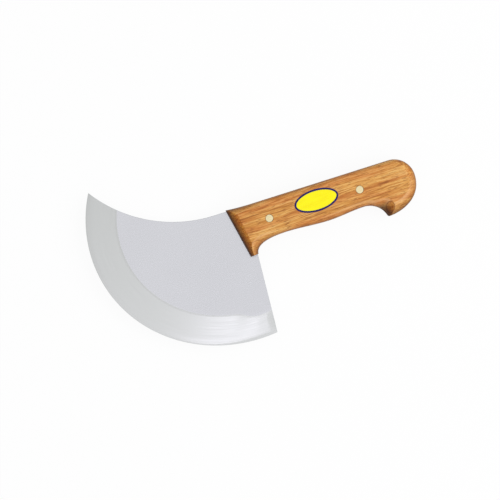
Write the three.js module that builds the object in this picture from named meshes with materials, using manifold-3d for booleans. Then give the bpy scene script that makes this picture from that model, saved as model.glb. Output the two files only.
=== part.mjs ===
// Crescent pastry knife: a full-tang blade gripped by two carved wooden scales,
// pinned by two flush rivets, with an oval label stuck on the front scale.
// Millimetres, +Z up. The knife lies on its back scale. Plan sizes are taken from the
// front top corner of the handle: +X runs to the butt, +Y from the cutting edge to the spine.

import * as THREE from 'three';
import { mergeVertices } from 'three/addons/utils/BufferGeometryUtils.js';
import Module from 'manifold-3d';

const wasm = await Module();
wasm.setup();

const { degToRad, lerp, smoothstep } = THREE.MathUtils;

// Blade: the edge is an ellipse, ground to a wide bevel with a narrow honed strip
const BLADE_THICKNESS = 2;
const EDGE_LONG_RADIUS = 97.9;
const EDGE_SHORT_RADIUS = 90.2;
const EDGE_TILT_DEGREES = 15.1;
const EDGE_CENTRE_X = 0.6;
const EDGE_CENTRE_Y = 1.4;
const BEVEL_WIDTH = 22;
const BEVEL_FOOT_THICKNESS = 0.5;
const HONE_WIDTH = 1;
const EDGE_LAND = 0.12;
const SPINE_RADIUS = 93.5;
const SPINE_STRAIGHT = 8.5;
const HEEL_LEAN_DEGREES = 3.5;
const HEEL_SETBACK = 0.5;

// Handle outline: straight top, round butt with a finger hook, swelling belly, front drop
const HANDLE_LENGTH = 129.8;
const BUTT_UPPER_RADIUS = 14.6;
const BUTT_FULLNESS = 0.77;
const HOOK_FULLNESS = 0.37;
const RECESS_FROM_BUTT = 39.4;
const RECESS_DEPTH = 25.2;
const HOOK_RADIUS = 13.9;
const HOOK_BELOW_DROP = 2.1;
const SWELL_DEPTH = 26.9;
const SWELL_SHARE = 0.54;
const WAIST_FROM_FRONT = 34.9;
const WAIST_DEPTH = 25.4;
const BELLY_EASE = 0.36;
const THROAT_REACH = 12;
const THROAT_RISE = 6.5;
const DROP_DEPTH = 34.4;
const DROP_END_WIDTH = 5.6;
const DROP_END_RISE = 0.5;
const FRONT_LEAN_DEGREES = 11.2;

// Scales: thickness, and the carved edges as width on the face, drop down the side and roundness
const SCALE_THICKNESS = 9;
const CROWN = { width: 3.6, drop: 4.4, roundness: 0.85 };
const BUTT_RIM = { width: 4.8, drop: 5, roundness: 0.55 };
const SCOOP = { width: 8.5, drop: 7.8, roundness: 0.3 };
const BELLY_ROUND = { width: 4.2, drop: 4.5, roundness: 0.85 };
const DROP_ROUND = { width: 4.4, drop: 6.8, roundness: 0.8 };
const FRONT_BEVEL_LOW = { width: 5.2, drop: 7, roundness: 0.6 };
const FRONT_BEVEL_HIGH = { width: 6.2, drop: 7, roundness: 0.6 };

// Rivets: a straight shank with a countersunk head at each face
const RIVET_SHANK_RADIUS = 2;
const RIVET_HEAD_RADIUS = 2.55;
const RIVET_HEAD_DEPTH = 1.2;
const RIVET_CLEARANCE = 0.2;
const RIVET_DEPTH = 13.2;
const FRONT_RIVET_FROM_FRONT = 26.65;
const REAR_RIVET_FROM_BUTT = 38.85;

// Label: an oval between the rivets
const LABEL_LENGTH = 30.8;
const LABEL_HEIGHT = 15.1;
const LABEL_THICKNESS = 0.2;
const LABEL_DEPTH = 11.2;
const LABEL_SHIFT = 2;

// Facets on the curves
const EDGE_FACETS = 120;
const ARC_STEPS = 12;
const BELLY_STEPS = 8;
const ROUND_STEPS = 6;
const RIVET_FACETS = 24;
const LABEL_FACETS = 48;

// How far a cutting shape runs past what it cuts
const OVERRUN = 4;

const steel = new THREE.MeshStandardMaterial({ color: '#d0d1d6', roughness: 0.3, metalness: 1 });
const wood = new THREE.MeshStandardMaterial({ color: '#cd9156', roughness: 0.55, metalness: 0 });
const brass = new THREE.MeshStandardMaterial({ color: '#eee0b0', roughness: 0.3, metalness: 1 });
const vinyl = new THREE.MeshStandardMaterial({ color: '#f7f02a', roughness: 0.25, metalness: 0 });

function vec(x, y) {
  return new THREE.Vector2(x, y);
}

// Closed geometry as a solid that can be joined and cut
function solid(geometry) {
  const bare = geometry.clone();
  bare.deleteAttribute('normal');
  bare.deleteAttribute('uv');
  const merged = mergeVertices(bare);
  const corners = Array.from(merged.index.array);
  const triangles = [];
  for (let i = 0; i < corners.length; i += 3) {
    const triangle = corners.slice(i, i + 3);
    if (new Set(triangle).size === 3) triangles.push(...triangle);
  }
  const mesh = new wasm.Mesh({
    numProp: 3,
    vertProperties: new Float32Array(merged.attributes.position.array),
    triVerts: new Uint32Array(triangles),
  });
  return new wasm.Manifold(mesh);
}

function geometryOf(body) {
  const { vertProperties, triVerts } = body.getMesh();
  const geometry = new THREE.BufferGeometry();
  geometry.setAttribute('position', new THREE.BufferAttribute(vertProperties, 3));
  geometry.setIndex(new THREE.BufferAttribute(triVerts, 1));
  geometry.computeVertexNormals();
  return geometry;
}

function extrude(shape, low, high, curveSegments) {
  const geometry = new THREE.ExtrudeGeometry(shape, { depth: high - low, bevelEnabled: false, curveSegments });
  return geometry.translate(0, 0, low);
}

// Mirror image through the blade's middle plane, with the faces turned to point out again
function mirrored(geometry) {
  const copy = geometry.clone().scale(1, 1, -1);
  const { array } = copy.index;
  for (let i = 0; i < array.length; i += 3) [array[i], array[i + 1]] = [array[i + 1], array[i]];
  copy.computeVertexNormals();
  return copy;
}

// Corners and centres of the handle outline
const frontTop = vec(0, 0);
const dropFront = vec(DROP_DEPTH * Math.tan(degToRad(FRONT_LEAN_DEGREES)), -DROP_DEPTH);
const dropHeel = vec(dropFront.x + DROP_END_WIDTH, DROP_END_RISE - DROP_DEPTH);
const waist = vec(WAIST_FROM_FRONT, -WAIST_DEPTH);
const recess = vec(HANDLE_LENGTH - RECESS_FROM_BUTT, -RECESS_DEPTH);
const swell = vec(lerp(waist.x, recess.x, SWELL_SHARE), -SWELL_DEPTH);
const hookCentre = vec(recess.x, recess.y - HOOK_RADIUS);
const hookTipAngle = Math.asin((-DROP_DEPTH - HOOK_BELOW_DROP - hookCentre.y) / HOOK_RADIUS);
const hookTip = vec(hookCentre.x + HOOK_RADIUS * Math.cos(hookTipAngle), -DROP_DEPTH - HOOK_BELOW_DROP);
const buttCentre = vec(HANDLE_LENGTH - BUTT_UPPER_RADIUS, -BUTT_UPPER_RADIUS);
const buttEnd = vec(HANDLE_LENGTH, -BUTT_UPPER_RADIUS);
const heelDown = vec(-Math.sin(degToRad(HEEL_LEAN_DEGREES)), -Math.cos(degToRad(HEEL_LEAN_DEGREES)));

// S-curve between two points of the belly, level at both ends
function bellyCurve(from, to) {
  const ease = (to.x - from.x) * BELLY_EASE;
  return new THREE.CubicBezierCurve(from, vec(from.x + ease, from.y), vec(to.x - ease, to.y), to);
}

const topCurve = new THREE.LineCurve(frontTop, vec(buttCentre.x, 0));
const upperButtCurve = new THREE.EllipseCurve(
  buttCentre.x, buttCentre.y, BUTT_UPPER_RADIUS, BUTT_UPPER_RADIUS, Math.PI / 2, 0, true,
);
const lowerButtCurve = new THREE.CubicBezierCurve(
  buttEnd,
  vec(buttEnd.x, lerp(buttEnd.y, hookTip.y, BUTT_FULLNESS)),
  vec(lerp(hookTip.x, buttEnd.x, HOOK_FULLNESS), hookTip.y),
  hookTip,
);
const hookCurve = new THREE.EllipseCurve(
  hookCentre.x, hookCentre.y, HOOK_RADIUS, HOOK_RADIUS, hookTipAngle, Math.PI / 2, false,
);
const throatCurve = new THREE.CubicBezierCurve(
  waist,
  vec(waist.x - THROAT_REACH, waist.y),
  dropHeel.clone().addScaledVector(heelDown, -THROAT_RISE),
  dropHeel,
);
const frontCurve = new THREE.LineCurve(dropFront, frontTop);

// The outline clockwise from the front top corner, as runs that one carved edge follows
const backRun = [
  { curve: topCurve, steps: 1, from: CROWN, to: CROWN },
  { curve: upperButtCurve, steps: ARC_STEPS, from: CROWN, to: BUTT_RIM },
  { curve: lowerButtCurve, steps: ARC_STEPS, from: BUTT_RIM, to: BUTT_RIM },
];
const bellyRun = [
  { curve: hookCurve, steps: ARC_STEPS, from: SCOOP, to: BELLY_ROUND },
  { curve: bellyCurve(recess, swell), steps: BELLY_STEPS, from: BELLY_ROUND, to: BELLY_ROUND },
  { curve: bellyCurve(swell, waist), steps: BELLY_STEPS, from: BELLY_ROUND, to: BELLY_ROUND },
  { curve: throatCurve, steps: ARC_STEPS, from: BELLY_ROUND, to: DROP_ROUND },
];
const frontRun = [{ curve: frontCurve, steps: 1, from: FRONT_BEVEL_LOW, to: FRONT_BEVEL_HIGH }];

// Stations along a run: place, direction, inward side and the carved edge there
function stationsOf(run) {
  const stations = run.flatMap(({ curve, steps, from, to }, index) => {
    const first = index === 0 ? 0 : 1;
    return Array.from({ length: steps + 1 - first }, (unused, i) => {
      const t = (i + first) / steps;
      const ahead = curve.getTangent(t);
      const blend = smoothstep(t, 0, 1);
      return {
        point: curve.getPoint(t),
        ahead,
        inward: vec(ahead.y, -ahead.x),
        width: lerp(from.width, to.width, blend),
        drop: lerp(from.drop, to.drop, blend),
        roundness: lerp(from.roundness, to.roundness, blend),
      };
    });
  });
  return stations;
}

const handleOutline = new THREE.Shape(
  [...stationsOf(backRun), ...stationsOf(bellyRun), ...stationsOf(frontRun)].map(({ point }) => point),
);

// Section of the wood that carving takes off an edge: x inward from the outline, y up from the tang
function wasteSection({ width, drop, roundness }) {
  const carved = Array.from({ length: ROUND_STEPS + 1 }, (unused, i) => {
    const part = i / ROUND_STEPS;
    const turn = part * Math.PI / 2;
    const inward = width * lerp(1 - part, 1 - Math.sin(turn), roundness);
    const down = drop * lerp(part, 1 - Math.cos(turn), roundness);
    return vec(inward, SCALE_THICKNESS - down);
  });
  const [first, second] = carved;
  const [beforeLast, last] = carved.slice(-2);
  const above = first.clone().add(first).sub(second);
  const outside = last.clone().add(last).sub(beforeLast);
  const lid = SCALE_THICKNESS + OVERRUN;
  return [above, ...carved, outside, vec(-OVERRUN, outside.y), vec(-OVERRUN, lid), vec(above.x, lid)];
}

// The waste along a run: sections lofted from station to station, running on past both ends
function edgeWaste(run) {
  const stations = stationsOf(run);
  const start = stations[0];
  const end = stations[stations.length - 1];
  const lead = { ...start, point: start.point.clone().addScaledVector(start.ahead, -OVERRUN) };
  const tail = { ...end, point: end.point.clone().addScaledVector(end.ahead, OVERRUN) };
  const rings = [lead, ...stations, tail].map((station) => wasteSection(station).map((corner) => {
    const place = station.point.clone().addScaledVector(station.inward, corner.x);
    return new THREE.Vector3(place.x, place.y, corner.y);
  }));
  const size = rings[0].length;
  const cap = THREE.ShapeUtils.triangulateShape(wasteSection(start), []);
  const lastRing = (rings.length - 1) * size;
  const index = cap.flatMap(([a, b, c]) => [a, b, c, lastRing + c, lastRing + b, lastRing + a]);
  for (let ring = 0; ring < rings.length - 1; ring += 1) {
    for (let corner = 0; corner < size; corner += 1) {
      const a = ring * size + corner;
      const b = ring * size + (corner + 1) % size;
      index.push(a, b, a + size, b, b + size, a + size);
    }
  }
  const geometry = new THREE.BufferGeometry().setFromPoints(rings.flat());
  geometry.setIndex(index);
  return solid(geometry);
}

// Rivet profile revolved about its axis; the hole is the same shape grown by the clearance
function rivetGeometry(x, clearance, overrun) {
  const face = BLADE_THICKNESS / 2 + SCALE_THICKNESS;
  const flare = (RIVET_HEAD_RADIUS - RIVET_SHANK_RADIUS) / RIVET_HEAD_DEPTH;
  const end = face + overrun;
  const neck = face - RIVET_HEAD_DEPTH;
  const head = RIVET_HEAD_RADIUS + clearance + flare * overrun;
  const shank = RIVET_SHANK_RADIUS + clearance;
  const profile = [vec(0, -end), vec(head, -end), vec(shank, -neck), vec(shank, neck), vec(head, end), vec(0, end)];
  return new THREE.LatheGeometry(profile, RIVET_FACETS).rotateX(Math.PI / 2).translate(x, -RIVET_DEPTH, 0);
}

const frontRivetX = FRONT_RIVET_FROM_FRONT;
const rearRivetX = HANDLE_LENGTH - REAR_RIVET_FROM_BUTT;
const rivetHoles = solid(rivetGeometry(frontRivetX, RIVET_CLEARANCE, OVERRUN))
  .add(solid(rivetGeometry(rearRivetX, RIVET_CLEARANCE, OVERRUN)));

// Blade: a blank with the spine and heel cut to shape, ground by a double cone over the edge ellipse
function bladeGeometry() {
  const half = BLADE_THICKNESS / 2;
  const reach = EDGE_LONG_RADIUS + SPINE_RADIUS;
  const heelX = (y) => dropHeel.x - HEEL_SETBACK + (y - dropHeel.y) * heelDown.x / heelDown.y;
  const blank = new THREE.Shape();
  blank.moveTo(heelX(-RIVET_DEPTH), -RIVET_DEPTH);
  blank.lineTo(frontTop.x, frontTop.y);
  blank.lineTo(-SPINE_STRAIGHT, 0);
  blank.absarc(-SPINE_STRAIGHT, SPINE_RADIUS, SPINE_RADIUS, -Math.PI / 2, -Math.PI, true);
  blank.lineTo(-reach, SPINE_RADIUS);
  blank.lineTo(-reach, -reach);
  blank.lineTo(heelX(-reach), -reach);

  const footRadius = EDGE_LONG_RADIUS - HONE_WIDTH;
  const slope = (half - BEVEL_FOOT_THICKNESS / 2) / (BEVEL_WIDTH - HONE_WIDTH);
  const apex = BEVEL_FOOT_THICKNESS / 2 + slope * footRadius;
  const upper = [vec(EDGE_LONG_RADIUS, EDGE_LAND / 2), vec(footRadius, BEVEL_FOOT_THICKNESS / 2), vec(0, apex)];
  const lower = upper.map((corner) => vec(corner.x, -corner.y)).reverse();
  const grind = new THREE.LatheGeometry([...lower, ...upper], EDGE_FACETS)
    .rotateX(Math.PI / 2)
    .scale(1, EDGE_SHORT_RADIUS / EDGE_LONG_RADIUS, 1)
    .rotateZ(degToRad(EDGE_TILT_DEGREES))
    .translate(EDGE_CENTRE_X, EDGE_CENTRE_Y, 0);

  const tang = solid(extrude(handleOutline, -half, half));
  const body = solid(extrude(blank, -half, half, EDGE_FACETS / 4)).intersect(solid(grind)).add(tang);
  return geometryOf(body.subtract(rivetHoles));
}

// Front scale: the outline sawn from a board, then its edges carved and its holes drilled
function scaleGeometry() {
  const face = BLADE_THICKNESS / 2;
  const carved = [backRun, bellyRun, frontRun].reduce(
    (body, run) => body.subtract(edgeWaste(run)),
    solid(extrude(handleOutline, 0, SCALE_THICKNESS)),
  );
  return geometryOf(carved.translate(0, 0, face).subtract(rivetHoles));
}

function labelGeometry() {
  const face = BLADE_THICKNESS / 2 + SCALE_THICKNESS;
  const centreX = (frontRivetX + rearRivetX) / 2 + LABEL_SHIFT;
  const oval = new THREE.Shape();
  oval.absellipse(centreX, -LABEL_DEPTH, LABEL_LENGTH / 2, LABEL_HEIGHT / 2, 0, 2 * Math.PI);
  return extrude(oval, face, face + LABEL_THICKNESS, LABEL_FACETS);
}

const frontScale = scaleGeometry();
const pieces = [
  ['blade', bladeGeometry(), steel],
  ['front_scale', frontScale, wood],
  ['back_scale', mirrored(frontScale), wood],
  ['front_rivet', rivetGeometry(frontRivetX, 0, 0), brass],
  ['rear_rivet', rivetGeometry(rearRivetX, 0, 0), brass],
  ['label', labelGeometry(), vinyl],
];

const knife = new THREE.Group();
for (const [name, geometry, material] of pieces) {
  const piece = new THREE.Mesh(geometry, material);
  piece.name = name;
  knife.add(piece);
}

// The origin moves to the middle of the knife's footprint, on the surface that it lies on
const extent = new THREE.Box3().setFromObject(knife);
const middle = extent.getCenter(new THREE.Vector3());
knife.position.set(-middle.x, -middle.y, -extent.min.z);

export default knife;
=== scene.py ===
"""Looks of a crescent pastry knife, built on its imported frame.

The knife lies on its back scale on a white table and is seen from straight above. Plan sizes are in
millimetres from the handle's front top corner: x runs to the butt, y from the cutting edge to the
spine, and z up from the middle of the blade's thickness.
"""

from __future__ import annotations

import logging
import math
from collections.abc import Callable, Sequence
from dataclasses import dataclass
from enum import Enum
from typing import NamedTuple

import bmesh
import bpy
import numpy as np
from bpy.types import Material, Mesh, Node, NodeSocket, NodeTree, Object
from mathutils import Matrix, Vector
from mathutils.kdtree import KDTree


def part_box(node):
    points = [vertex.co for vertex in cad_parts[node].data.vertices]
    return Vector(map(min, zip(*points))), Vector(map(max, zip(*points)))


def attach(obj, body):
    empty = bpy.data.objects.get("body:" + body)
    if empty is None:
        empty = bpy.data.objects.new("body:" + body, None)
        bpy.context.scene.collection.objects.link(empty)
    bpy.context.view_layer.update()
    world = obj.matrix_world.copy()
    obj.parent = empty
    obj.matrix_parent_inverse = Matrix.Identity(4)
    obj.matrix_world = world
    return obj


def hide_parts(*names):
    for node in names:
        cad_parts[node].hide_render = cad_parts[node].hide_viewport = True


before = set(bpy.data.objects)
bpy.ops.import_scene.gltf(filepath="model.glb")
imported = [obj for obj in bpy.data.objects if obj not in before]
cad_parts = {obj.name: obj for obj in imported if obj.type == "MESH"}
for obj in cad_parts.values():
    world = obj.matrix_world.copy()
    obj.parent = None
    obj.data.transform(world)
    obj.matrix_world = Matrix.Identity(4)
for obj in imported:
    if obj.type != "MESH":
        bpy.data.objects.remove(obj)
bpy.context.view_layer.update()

LOG = logging.getLogger("pastry_knife")
MM = 0.001
FULL_TURN = 2 * math.pi
TINY = 1e-9
# Millimetres from the middle of the blade to its flat and to the outside of the scales
SHEET_HALF = 1
HANDLE_HALF = 10

Array = np.ndarray
# Gives points in plan from shares of the way, angles or places along it
Curve = Callable[[Array], Array]
# Curves that follow one another, each with its number of steps
Route = list[tuple[Curve, int]]
Verts = list[bmesh.types.BMVert]
# Places on a colour ramp, each with its sRGB colour
Stops = tuple[tuple[float, str], ...]
Pair = tuple[float, float]
Triple = tuple[float, float, float]


class Side(Enum):
    """Side of the blade that a shape lies on."""

    FRONT = 1
    BACK = -1

    @property
    def flip(self) -> Array:
        """Factors that turn a shape on the front into the one on this side."""
        return np.array([1, 1, self.value])


def linear(hex_colour: str) -> tuple[float, float, float, float]:
    """Turns an sRGB colour into the linear one that shaders take, by the sRGB standard.

    Args:
        hex_colour: Six hex digits after a hash sign.

    Returns:
        Linear red, green, blue and full alpha.
    """
    levels = [int(hex_colour[start:start + 2], 16) / 255 for start in (1, 3, 5)]
    red, green, blue = (
        level / 12.92 if level <= 0.04045 else ((level + 0.055) / 1.055) ** 2.4
        for level in levels
    )
    return red, green, blue, 1.0


def per_metre(*sizes_mm: float) -> tuple[float, ...]:
    """Gives the repeats in a metre of a pattern with these sizes in millimetres."""
    return tuple(1000 / size for size in sizes_mm)


def add_node(
    tree: NodeTree,
    kind: str,
    sockets: dict[str | int, object] | None = None,
    stops: Sequence[tuple[float, str]] = (),
    give: str | int = 0,
    to: NodeSocket | None = None,
    **settings: object,
) -> NodeSocket:
    """Adds a shader node with its settings and links.

    Args:
        tree: Node tree that takes the node.
        kind: Blender's name of the node type, without its prefix.
        sockets: Input names or numbers, each with a value or with the output that feeds it.
        stops: Places and sRGB colours of a colour ramp.
        give: Name or number of the output that is wanted.
        to: Input that this output feeds.
        **settings: Properties of the node.

    Returns:
        The output that is wanted.
    """
    node = tree.nodes.new(f"ShaderNode{kind}")
    for name, value in settings.items():
        setattr(node, name, value)
    for name, value in (sockets or {}).items():
        if isinstance(value, NodeSocket):
            tree.links.new(value, node.inputs[name])
        else:
            node.inputs[name].default_value = value
    for index, (place, colour) in enumerate(stops):
        known = node.color_ramp.elements
        element = known[index] if index < len(known) else known.new(place)
        element.position = place
        element.color = linear(colour)
    if to is not None:
        tree.links.new(node.outputs[give], to)
    return node.outputs[give]


def straight(start: Array, end: Array) -> Curve:
    """Gives the line from start to end."""
    return lambda part: np.outer(1 - part, start) + np.outer(part, end)


def circle(centre: Sequence[float], radius: float) -> Curve:
    """Gives the circle round a centre, by the angle in radians."""
    return lambda turn: centre + radius * np.stack([np.cos(turn), np.sin(turn)], axis=-1)


def part_of(curve: Curve, start: float, end: float) -> Curve:
    """Gives the part of a curve between two places on it, which may run backwards."""
    return lambda part: curve(start + part * (end - start))


def bezier(*points: Array) -> Curve:
    """Gives a cubic curve.

    Args:
        *points: Its four control points.

    Returns:
        The cubic as a curve.
    """
    def curve(part: Array) -> Array:
        """Gives points of the cubic.

        Args:
            part: Shares of the way along it.

        Returns:
            The points.
        """
        rest = 1 - part
        weights = np.stack([rest**3, 3 * rest**2 * part, 3 * rest * part**2, part**3], axis=1)
        return weights @ np.stack(points)

    return curve


def smoothstep(part: Array) -> Array:
    """Eases a share from 0 to 1, level at both ends."""
    held = np.clip(part, 0, 1)
    return held * held * (3 - 2 * held)


def soft_max(first: Array, second: Array | float, blend: float) -> Array:
    """Takes the larger depth, rounding the crease where the two are less than blend apart."""
    overlap = np.maximum(blend - np.abs(first - second), 0) / blend
    return np.maximum(first, second) + overlap**2 * blend / 4


def trace(route: Route) -> Array:
    """Samples the curves of a route in order, with the points that they share once."""
    traced = [curve(np.linspace(0, 1, steps + 1)) for curve, steps in route]
    return np.concatenate([traced[0], *[points[1:] for points in traced[1:]]])


def left_sides(points: Array, closed: bool) -> Array:
    """Finds the directions that point to the left of a path.

    Args:
        points: Points of the path in plan.
        closed: Whether its last point is followed by its first.

    Returns:
        One unit vector for each point.
    """
    if closed:
        ahead = np.roll(points, -1, axis=0) - np.roll(points, 1, axis=0)
    else:
        ahead = np.gradient(points, axis=0)
    ahead /= np.maximum(np.linalg.norm(ahead, axis=1, keepdims=True), TINY)
    return np.stack([-ahead[:, 1], ahead[:, 0]], axis=1)


@dataclass(frozen=True)
class Datum:
    """Place in the frame, in metres, of the point that plan sizes are taken from."""

    corner: Vector

    @classmethod
    def of_frame(cls) -> Datum:
        """Finds the handle's front top corner, at the middle of the blade's thickness.

        Returns:
            The datum.
        """
        scale_low, scale_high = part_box("front_scale")
        blade_low, blade_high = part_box("blade")
        return cls(Vector((scale_low.x, scale_high.y, (blade_low.z + blade_high.z) / 2)))

    def place(self, x: float, y: float) -> Vector:
        """Gives the frame's place of a point in plan millimetres."""
        return self.corner + Vector((x, y, 0)) * MM


DATUM = Datum.of_frame()


class Draft:
    """Mesh that is being drawn in plan millimetres."""

    weld: float = 1e-4

    def __init__(self) -> None:
        """Starts with an empty mesh."""
        self.mesh = bmesh.new()

    def row(self, points: Array) -> Verts:
        """Adds a vertex at each point."""
        return [self.mesh.verts.new(point) for point in points]

    def ring(self, centre: Pair, radius: float, z: float, facets: int) -> Verts:
        """Adds a level ring with as many vertices as facets, round a centre in plan."""
        turn = np.linspace(0, FULL_TURN, facets, endpoint=False)
        return self.row(np.column_stack([circle(centre, radius)(turn), np.full(facets, z)]))

    def skin(self, rows: Sequence[Verts], closed: bool = False, finish: int = 0) -> None:
        """Joins each row to the next with faces.

        Args:
            rows: Rows of equally many vertices.
            closed: Whether each row is a ring.
            finish: Material number of the faces.
        """
        for near, far in zip(rows, rows[1:]):
            for here in range(len(near) - (not closed)):
                after = (here + 1) % len(near)
                corners = near[here], near[after], far[after], far[here]
                self.mesh.faces.new(corners).material_index = finish

    def fill(self, *loops: Verts, finish: int = 0) -> None:
        """Fills a flat face.

        Args:
            *loops: Its outer ring of vertices, then the rings round its holes.
            finish: Material number of the faces.
        """
        sides = [pair for loop in loops for pair in zip(loop, [*loop[1:], loop[0]])]
        edges = [self.mesh.edges.get(pair) or self.mesh.edges.new(pair) for pair in sides]
        made = bmesh.ops.triangle_fill(self.mesh, edges=edges, use_beauty=True)
        for face in made["geom"]:
            if isinstance(face, bmesh.types.BMFace):
                face.material_index = finish

    def lathe(self, centre: Pair, profile: Sequence[Pair], facets: int) -> None:
        """Turns a profile round an upright axis and closes its two ends.

        Args:
            centre: Axis in plan.
            profile: Radius and height of each ring, from one end to the other.
            facets: Facets round the axis.
        """
        rings = [self.ring(centre, radius, z, facets) for radius, z in profile]
        self.skin(rings, closed=True)
        self.mesh.faces.new(rings[0])
        self.mesh.faces.new(rings[-1])

    def piece(self, name: str, materials: Sequence[Material], crease: float) -> Object:
        """Moves the mesh into the frame and makes an object of it.

        Args:
            name: Name of the object.
            materials: Its materials, in the order of their numbers.
            crease: Angle in degrees above which an edge stays sharp.

        Returns:
            The object, in the scene.
        """
        bmesh.ops.remove_doubles(self.mesh, verts=self.mesh.verts, dist=self.weld)
        bmesh.ops.recalc_face_normals(self.mesh, faces=self.mesh.faces)
        in_frame = Matrix.Translation(DATUM.corner) @ Matrix.Scale(MM, 4)
        bmesh.ops.transform(self.mesh, matrix=in_frame, verts=self.mesh.verts)
        mesh = bpy.data.meshes.new(name)
        self.mesh.to_mesh(mesh)
        self.mesh.free()
        for material in materials:
            mesh.materials.append(material)
        shade(mesh, crease)
        piece = bpy.data.objects.new(name, mesh)
        bpy.context.scene.collection.objects.link(piece)
        return piece


def shade(mesh: Mesh, crease: float) -> None:
    """Shades a mesh smooth, with edges kept sharp above an angle in degrees."""
    mesh.shade_smooth()
    mesh.set_sharp_from_angle(angle=math.radians(crease))


def install(piece: Object, node: str) -> None:
    """Fixes a piece to the knife in place of a node of the frame.

    Args:
        piece: The dressed piece.
        node: Node that it stands for.
    """
    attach(piece, "root")
    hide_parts(node)
    LOG.info("%s stands for %s with %d faces", piece.name, node, len(piece.data.polygons))


@dataclass(frozen=True)
class Finish:
    """Surface of one real material.

    Its roughness runs from one value to another as its pattern runs over a span. Its relief is the
    strength of the pattern's bumps and their depth in millimetres.
    """

    name: str
    roughness: Pair = (0.5, 0.5)
    span: Pair = (0, 1)
    relief: Pair = (0, 0)

    def begin(self) -> tuple[Material, NodeTree, Node]:
        """Starts the material.

        Returns:
            The material, its node tree and its surface shader.
        """
        material = bpy.data.materials.new(self.name)
        material.use_nodes = True
        return material, material.node_tree, material.node_tree.nodes["Principled BSDF"]

    def texture(self, shader: Node, pattern: NodeSocket, height: NodeSocket) -> None:
        """Lets a pattern vary the roughness and raise the surface.

        Args:
            shader: Surface shader of the material.
            pattern: Output that the roughness follows.
            height: Output that the relief follows.
        """
        tree = shader.id_data
        add_node(tree, "MapRange", {
            "Value": pattern, "From Min": self.span[0], "From Max": self.span[1],
            "To Min": self.roughness[0], "To Max": self.roughness[1],
        }, to=shader.inputs["Roughness"])
        add_node(tree, "Bump", {
            "Height": height, "Strength": self.relief[0], "Distance": self.relief[1] * MM,
        }, to=shader.inputs["Normal"])


@dataclass(frozen=True)
class SatinStainless(Finish):
    """Stainless sheet, rolled and then satin-polished along the knife.

    The eye gets one soft, even, slightly blue grey with faint straight lines.
    """

    name: str = "satin_stainless"
    roughness: Pair = (0.24, 0.3)
    span: Pair = (0.3, 0.7)
    relief: Pair = (0.012, 0.03)
    tones: Stops = ((0.0, "#D3D4D8"), (1.0, "#D5D6DA"))
    tone_span: Pair = (0.7, 1.2)
    line_size: Triple = (45, 0.35, 0.35)
    cloud_size: float = 30

    def material(self) -> Material:
        """Makes the material.

        Returns:
            The material.
        """
        material, tree, shader = self.begin()
        place = add_node(tree, "TexCoord", give="Object")
        # Polishing lines are about 0.05 mm apart; they are drawn at 0.35 mm so that they show
        lines = add_node(tree, "Mapping", {"Vector": place, "Scale": per_metre(*self.line_size)})
        scratch = add_node(tree, "TexNoise", {"Vector": lines, "Scale": 1, "Detail": 3})
        cloud = add_node(tree, "TexNoise", {
            "Vector": place, "Scale": per_metre(self.cloud_size)[0], "Detail": 2,
        })
        tone = add_node(tree, "MapRange", {
            "Value": add_node(tree, "Math", {0: scratch, 1: cloud}, operation="ADD"),
            "From Min": self.tone_span[0], "From Max": self.tone_span[1],
        })
        shader.inputs["Metallic"].default_value = 1
        add_node(tree, "ValToRGB", {"Fac": tone}, self.tones, to=shader.inputs["Base Color"])
        self.texture(shader, scratch, scratch)
        return material


@dataclass(frozen=True)
class GroundBevel(Finish):
    """The same steel, belt-ground to the edge and left with the belt's lines.

    The eye gets streaks that follow the edge, a brighter, livelier shine than the flat has, and a
    thin darker line painted along the grind line as its shade.
    """

    name: str = "belt_ground_bevel"
    roughness: Pair = (0.15, 0.11)
    span: Pair = (0.3, 0.7)
    relief: Pair = (0.03, 0.05)
    tones: Stops = ((0.3, "#CBCDCC"), (0.7, "#D0D2D1"))
    # Painted shade: a thin darker strip just past the grind line
    grind_line_shade: Stops = ((0.787, "#F8F8F8"), (0.797, "#FFFFFF"))
    streak_size: Pair = (38, 0.5)

    def material(self, blade: Blade) -> Material:
        """Makes the material, with streaks along the cutting edge.

        Args:
            blade: Blade that is ground.

        Returns:
            The material.
        """
        material, tree, shader = self.begin()
        # Half a turn puts the angle's seam on the handle's side, where there is no bevel
        disc = add_node(tree, "Mapping", {
            "Vector": add_node(tree, "TexCoord", give="Object"),
            "Location": DATUM.place(*blade.centre), "Rotation": (0, 0, blade.tilt + math.pi),
            "Scale": (blade.long_radius * MM, blade.short_radius * MM, 1),
        }, vector_type="TEXTURE")
        flat = add_node(tree, "VectorMath", {0: disc, 1: (1, 1, 0)}, operation="MULTIPLY")
        reach = add_node(tree, "VectorMath", {0: flat}, give="Value", operation="LENGTH")
        x, y, _ = add_node(tree, "SeparateXYZ", {0: disc}).node.outputs
        turn = add_node(tree, "Math", {0: y, 1: x}, operation="ARCTAN2")
        # Belt lines are about 0.1 mm apart; they are drawn at 0.5 mm so that they show
        repeats = [blade.long_radius / size for size in self.streak_size]
        lines = add_node(tree, "Mapping", {
            "Vector": add_node(tree, "CombineXYZ", {0: turn, 1: reach}), "Scale": (*repeats, 1),
        })
        streak = add_node(tree, "TexNoise", {
            "Vector": lines, "Scale": 1, "Detail": 4, "Roughness": 0.6,
        })
        shader.inputs["Metallic"].default_value = 1
        # The streaked base colour is multiplied by painted shade along the grind line
        add_node(tree, "Mix", {
            "Factor": 1,
            6: add_node(tree, "ValToRGB", {"Fac": streak}, self.tones),
            7: add_node(tree, "ValToRGB", {"Fac": reach}, self.grind_line_shade),
        }, give=2, to=shader.inputs["Base Color"], data_type="RGBA", blend_type="MULTIPLY")
        self.texture(shader, streak, streak)
        return material


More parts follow.
